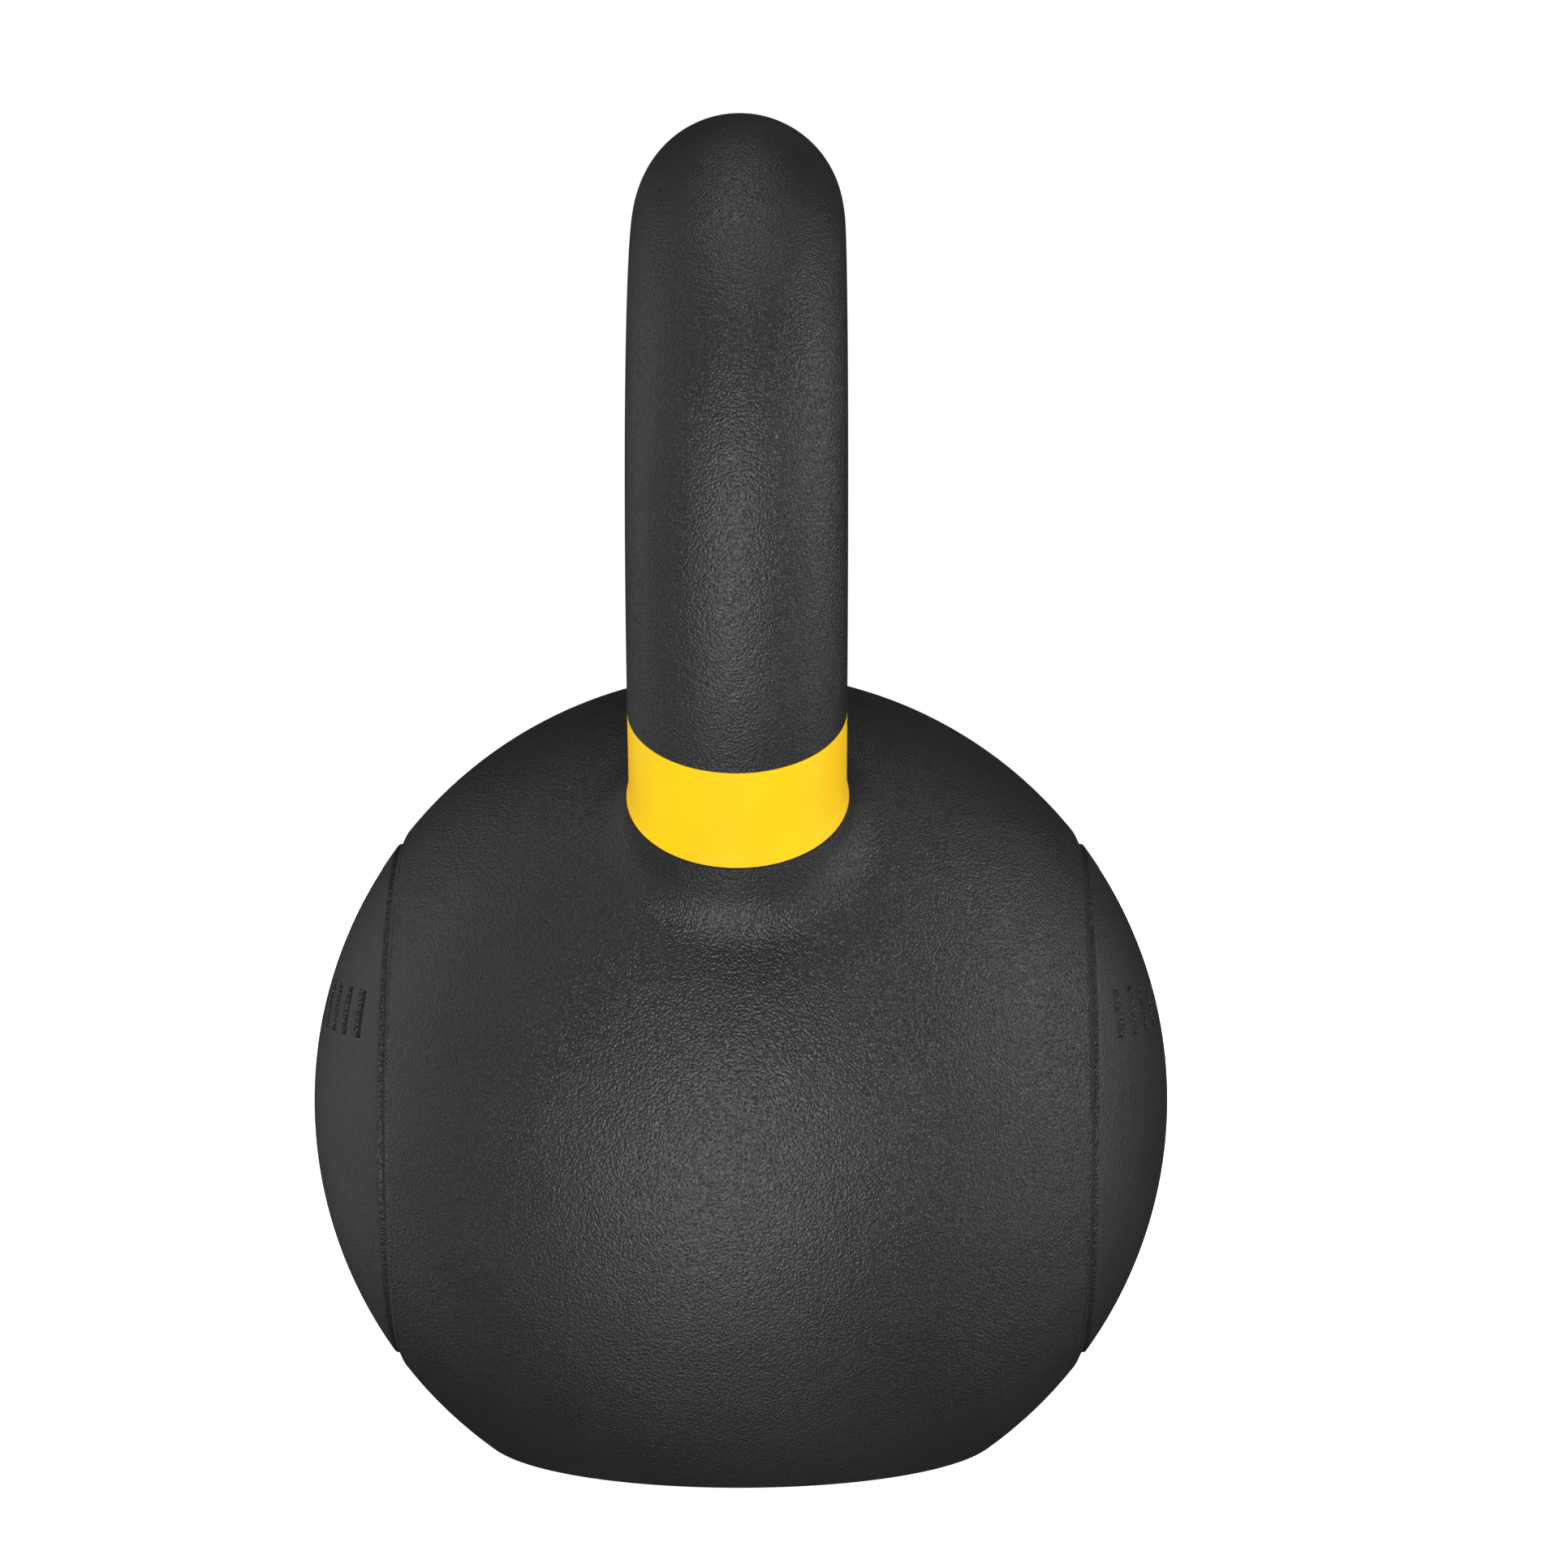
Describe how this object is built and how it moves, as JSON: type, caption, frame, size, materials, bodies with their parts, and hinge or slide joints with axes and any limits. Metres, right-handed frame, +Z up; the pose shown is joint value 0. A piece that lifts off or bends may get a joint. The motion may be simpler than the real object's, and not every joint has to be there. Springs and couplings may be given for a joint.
{
  "type": "kettlebell",
  "caption": "Rubber-cased iron ball with a flat base and domed side discs, under a bent round bar handle with a yellow collar at the foot of each leg.",
  "frame": {"origin": "centre of the flat base, on the surface the kettlebell stands on", "axes": "+Z up; the handle lies in the YZ plane with one leg towards -Y (front) and one towards +Y; the side discs face -X and +X"},
  "size_m": [0.163, 0.1982, 0.2521],
  "materials": {
    "core_iron": "matte",
    "handle_coat": "satin",
    "cover_rubber": "matte",
    "disc_rubber": "matte",
    "band_yellow": "satin",
    "weld_steel": "satin"
  },
  "bodies": {
    "root": {"iron_core": "core_iron", "handle_bar": "handle_coat", "ball_cover": "cover_rubber", "left_disc": "disc_rubber", "right_disc": "disc_rubber", "front_band": "band_yellow", "rear_band": "band_yellow", "front_weld": "weld_steel", "rear_weld": "weld_steel"}
  },
  "joints": []
}
